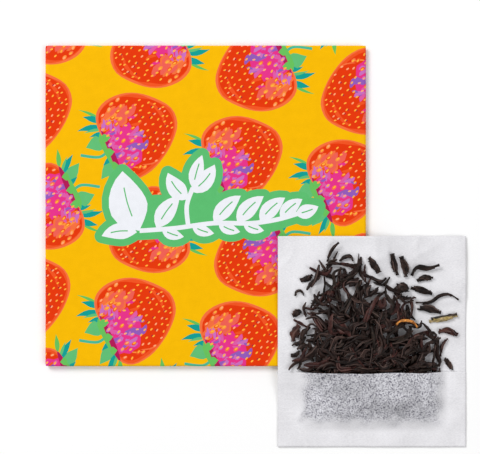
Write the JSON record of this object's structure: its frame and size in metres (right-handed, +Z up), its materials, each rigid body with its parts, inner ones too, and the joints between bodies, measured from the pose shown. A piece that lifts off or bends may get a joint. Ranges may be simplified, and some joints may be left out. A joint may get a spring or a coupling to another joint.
{
  "type": "tea bag with its printed square envelope",
  "caption": "Flat square fruit-print paper envelope with its filter bag of black leaf tea, cut open, lying across one corner.",
  "frame": {"origin": "centre of the part's footprint, on the surface it lies on", "axes": "+X to the right and +Y up the printed face as the print is read; +Z up, out of the printed face"},
  "size_m": [0.1116, 0.1064, 0.0074],
  "materials": {
    "printed_card": null,
    "filter_paper": "thin fibrous heat-seal filter paper, matt",
    "black_tea": "rolled dried leaf, dull with a faint waxy sheen",
    "brown_tea": "red-brown dried leaf and stem",
    "pale_tip": "pale golden-green leaf tip"
  },
  "bodies": {
    "root": {"envelope": "printed_card", "filter_bag": "filter_paper", "tea_bed": "black_tea", "leaf_curl_top": "black_tea", "leaf_hook_top": "black_tea", "leaf_flat_top": "black_tea", "leaf_rolled_a": "black_tea", "leaf_rolled_b": "black_tea", "leaf_long_bow": "black_tea", "leaf_short_right": "black_tea", "leaf_knot": "black_tea", "leaf_flat_right": "black_tea", "twig_long": "black_tea", "leaf_stick_right": "black_tea", "leaf_low_right": "black_tea", "leaf_point_left": "black_tea", "leaf_hook_left": "black_tea", "leaf_stub_left": "black_tea", "leaf_low_left": "black_tea", "leaf_red_curl": "brown_tea", "twig_red": "brown_tea", "leaf_red_left": "brown_tea", "leaf_tip_pale": "pale_tip"}
  },
  "joints": []
}
